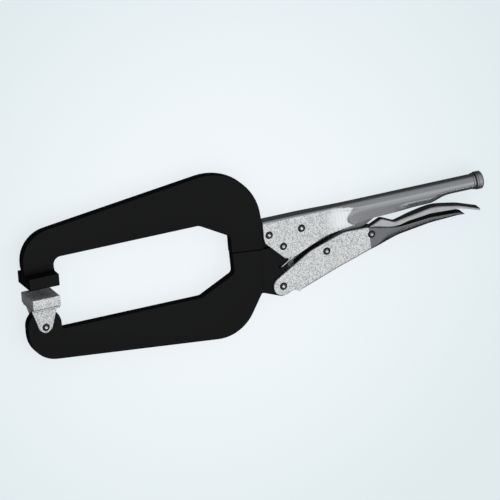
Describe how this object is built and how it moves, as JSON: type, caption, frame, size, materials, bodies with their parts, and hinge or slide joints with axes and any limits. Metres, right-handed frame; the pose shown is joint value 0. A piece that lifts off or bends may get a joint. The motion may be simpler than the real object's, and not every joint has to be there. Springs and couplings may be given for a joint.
{
  "type": "locking clamp pliers",
  "caption": "Deep-throat locking clamp pliers: black C-shaped jaws, a swivelling lower pad, plated sheet handles with a toggle lock and an adjusting screw.",
  "frame": {"origin": "middle of the fixed pad's clamping face, in the tool's middle plane", "axes": "+X along the tool towards the adjusting knob, +Y from the clamping face up into the fixed jaw, +Z away from the bench the tool lies on"},
  "size_m": [0.3985, 0.14, 0.0256],
  "materials": {
    "black_finish": "satin black oxide over a forged and ground surface",
    "handle_plate": "bright plating, blasted on the flat cheeks and smooth on the tube",
    "pad_plate": "blasted plating",
    "rivet_steel": "bright turned steel",
    "link_steel": "dark heat-treated steel",
    "release_chrome": "glossy plating",
    "screw_steel": "rolled thread, bright",
    "knob_steel": "knurled, bright",
    "spring_wire": "drawn spring wire"
  },
  "bodies": {
    "frame": {"fixed_jaw": "black_finish", "fixed_pad": "black_finish", "upper_handle": "handle_plate", "front_jaw_rivet": "rivet_steel", "rear_jaw_rivet": "rivet_steel", "jaw_pivot_rivet": "rivet_steel", "return_spring": "spring_wire"},
    "lower_jaw": {"swing_jaw": "black_finish"},
    "swivel_foot": {"swivel_pad": "pad_plate", "swivel_bracket": "pad_plate", "swivel_rivet": "rivet_steel"},
    "lower_handle": {"lower_lever": "handle_plate", "lever_pivot_rivet": "rivet_steel", "link_rivet": "rivet_steel", "release_rivet": "rivet_steel"},
    "link": {"toggle_link": "link_steel"},
    "release": {"release_lever": "release_chrome"},
    "screw_slider": {"screw_nose": "screw_steel"},
    "screw": {"adjusting_screw": "screw_steel", "adjusting_knob": "knob_steel"}
  },
  "joints": [
    {"name": "jaw_swing", "type": "hinge", "parent": "frame", "child": "lower_jaw", "pos_m": [0.208, -0.0115, 0], "axis": [0, 0, 1], "range_deg": [0, 20], "deforming": ["return_spring"]},
    {"name": "handle_fold", "type": "hinge", "parent": "lower_jaw", "child": "lower_handle", "pos_m": [0.2053, -0.04509, 0], "axis": [0, 0, 1], "range_deg": [-50, 0]},
    {"name": "link_fold", "type": "hinge", "parent": "lower_handle", "child": "link", "pos_m": [0.24477, -0.02348, 0], "axis": [0, 0, 1], "range_deg": [0, 53.2]},
    {"name": "release_press", "type": "hinge", "parent": "lower_handle", "child": "release", "pos_m": [0.2844, -0.01749, 0], "axis": [0, 0, 1], "range_deg": [-2, 2]},
    {"name": "pad_swivel", "type": "hinge", "parent": "lower_jaw", "child": "swivel_foot", "pos_m": [0.0004, -0.0353, 0], "axis": [0, 0, 1], "range_deg": [-15, 15]},
    {"name": "screw_advance", "type": "slide", "parent": "frame", "child": "screw_slider", "axis": [1, 0, 0], "range_m": [0, 0.013]},
    {"name": "screw_turn", "type": "hinge", "parent": "screw_slider", "child": "screw", "pos_m": [0.3785, 0.0064, 0], "axis": [1, 0, 0], "range_deg": [0, 3240]}
  ],
  "couplings": [
    {"joint": "handle_fold", "follows": "jaw_swing", "ratio": -2.5},
    {"joint": "link_fold", "follows": "jaw_swing", "ratio": 2.66},
    {"joint": "screw_advance", "follows": "screw_turn", "m_per_rad": 0.00019894}
  ]
}
